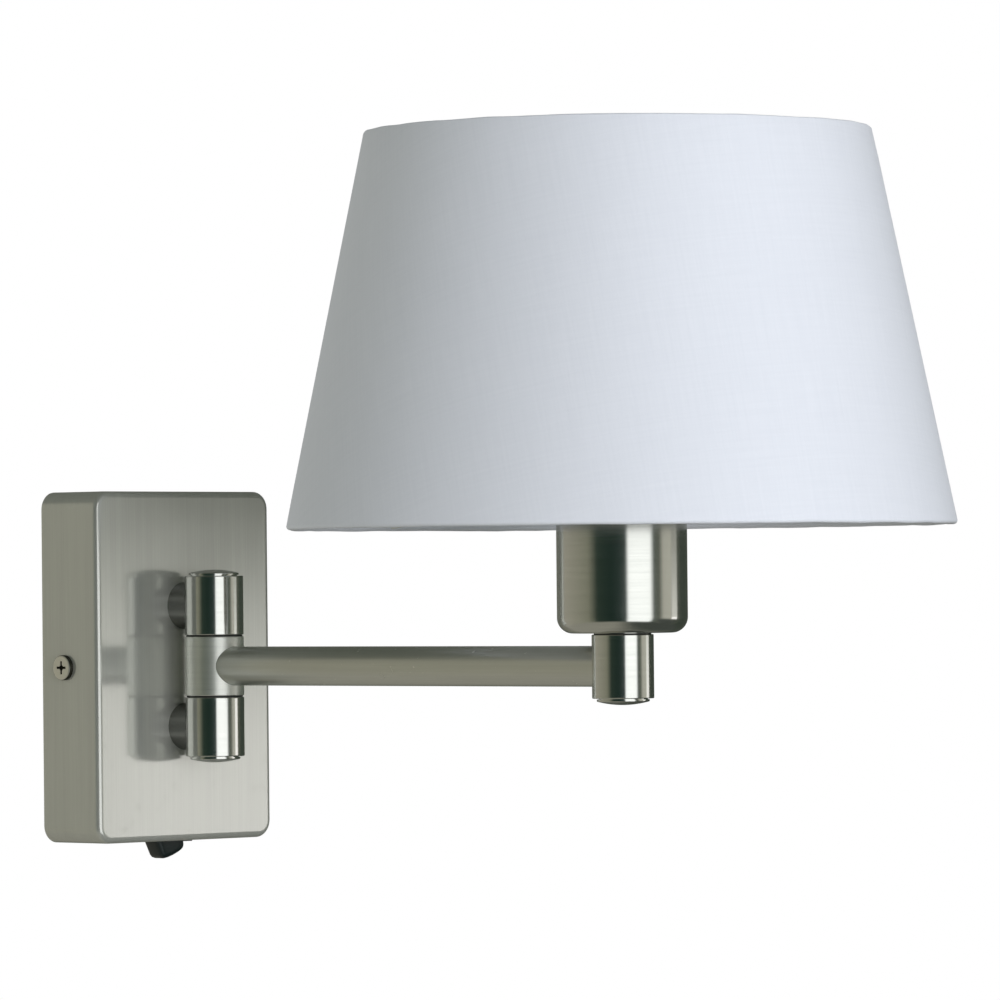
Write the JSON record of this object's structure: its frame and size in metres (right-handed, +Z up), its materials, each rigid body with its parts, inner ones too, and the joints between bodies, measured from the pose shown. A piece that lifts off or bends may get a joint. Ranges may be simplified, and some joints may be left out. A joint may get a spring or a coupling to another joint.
{
  "type": "swing-arm wall lamp",
  "caption": "Wall lamp with a switched rectangular box, a horizontally swinging straight arm and a tapered drum shade over a screw-base lampholder.",
  "frame": {"origin": "centre of the wall bracket's back face, midway between its two wall slots and level with the arm", "axes": "+Y into the wall, +X to the right of someone facing the wall, +Z up; the arm points along -Y at rest"},
  "size_m": [0.254, 0.398, 0.2803],
  "materials": {
    "satin_nickel": "satin nickel plate with a fine brushed grain",
    "zinc_steel": "bright zinc-plated steel",
    "plain_brass": "plain machined brass",
    "black_plastic": "moulded black thermoset",
    "black_nylon": "black nylon sheet",
    "white_plastic": "moulded white nylon",
    "clear_sleeve": "soft clear sleeve",
    "glazed_insulator": "glazed steatite",
    "white_wire": "white powder coat on steel wire",
    "shade_lining": "matt white styrene lining",
    "shade_cotton": "cool white plain-weave cotton",
    "frosted_glass": "frosted glass",
    "bulb_aluminium": "bright rolled aluminium",
    "lead_sheath": "clear PVC sleeve over the cores",
    "core_insulation": "brown PVC",
    "earth_insulation": "green and yellow PVC"
  },
  "bodies": {
    "wall_unit": {"wall_bracket": "zinc_steel", "box_cover": "satin_nickel", "side_screws": "satin_nickel", "terminal_block": "white_plastic", "terminal_clamps": "plain_brass", "terminal_screws": "zinc_steel", "terminal_block_screw": "zinc_steel", "earth_tag": "plain_brass", "earth_screw": "zinc_steel", "switch_housing": "black_plastic", "switch_blades": "plain_brass", "spade_connectors": "clear_sleeve", "upper_post_collar": "satin_nickel", "lower_post_collar": "satin_nickel", "post_studs": "plain_brass", "post_lock_washers": "zinc_steel", "post_nuts": "zinc_steel", "top_knuckle": "satin_nickel", "bottom_knuckle": "satin_nickel", "pivot_tube": "plain_brass", "hinge_washers": "black_nylon", "spring_washers": "zinc_steel", "top_hinge_cap": "satin_nickel", "bottom_hinge_cap": "satin_nickel", "wall_lead": "lead_sheath", "lamp_cores": "core_insulation", "switch_wires": "core_insulation", "earth_lead": "earth_insulation"},
    "arm_unit": {"arm_knuckle": "satin_nickel", "arm_tube": "satin_nickel", "end_barrel": "satin_nickel", "end_cap": "satin_nickel", "lamp_rod": "plain_brass", "cup_seat_washer": "black_nylon", "lamp_cup": "satin_nickel", "cup_nut": "zinc_steel", "holder_base": "black_plastic", "holder_contact_block": "glazed_insulator", "centre_contact": "plain_brass", "holder_skirt": "black_plastic", "lower_shade_ring": "black_plastic", "upper_shade_ring": "black_plastic", "shade_carrier": "white_wire", "shade_bottom_ring": "white_wire", "shade_top_ring": "white_wire", "shade_lining": "shade_lining", "shade_cloth": "shade_cotton", "bulb_glass": "frosted_glass", "bulb_cap": "bulb_aluminium", "bulb_insulator": "black_plastic", "bulb_contact": "plain_brass", "arm_lead": "lead_sheath"},
    "rocker": {"switch_rocker": "black_plastic"}
  },
  "joints": [
    {"name": "arm_swing", "type": "hinge", "parent": "wall_unit", "child": "arm_unit", "pos_m": [0, -0.049, 0], "axis": [0, 0, 1], "range_deg": [-68, 68]},
    {"name": "switch_tilt", "type": "hinge", "parent": "wall_unit", "child": "rocker", "pos_m": [0, -0.0185, -0.0688], "axis": [0, 1, 0], "range_deg": [0, 38]}
  ]
}
